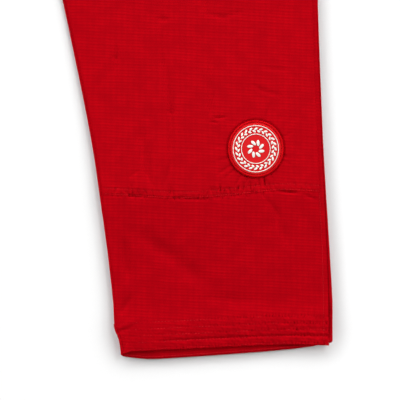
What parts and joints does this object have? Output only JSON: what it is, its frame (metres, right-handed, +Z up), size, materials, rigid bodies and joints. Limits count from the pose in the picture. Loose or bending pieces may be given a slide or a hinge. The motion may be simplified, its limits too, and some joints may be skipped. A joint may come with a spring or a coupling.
{
  "type": "jiu-jitsu gi trousers",
  "caption": "Martial-arts trousers laid out flat, front up, with a gusset, knee reinforcements, a drawstring waistband and a round badge on one shin.",
  "frame": {"origin": "on the surface that the trousers lie on, under the middle of their outline", "axes": "+X towards the wearer's left, +Y from the hems to the waist, +Z up, away from the surface"},
  "size_m": [0.7344, 0.9599, 0.0093],
  "materials": {
    "cloth": "red ripstop cotton, matt",
    "badge": "soft moulded rubber, red with a white design"
  },
  "bodies": {
    "root": {"back_leg_left": "cloth", "front_leg_left": "cloth", "knee_left": "cloth", "back_leg_right": "cloth", "front_leg_right": "cloth", "knee_right": "cloth", "gusset": "cloth", "waistband": "cloth", "badge": "badge"}
  },
  "joints": []
}
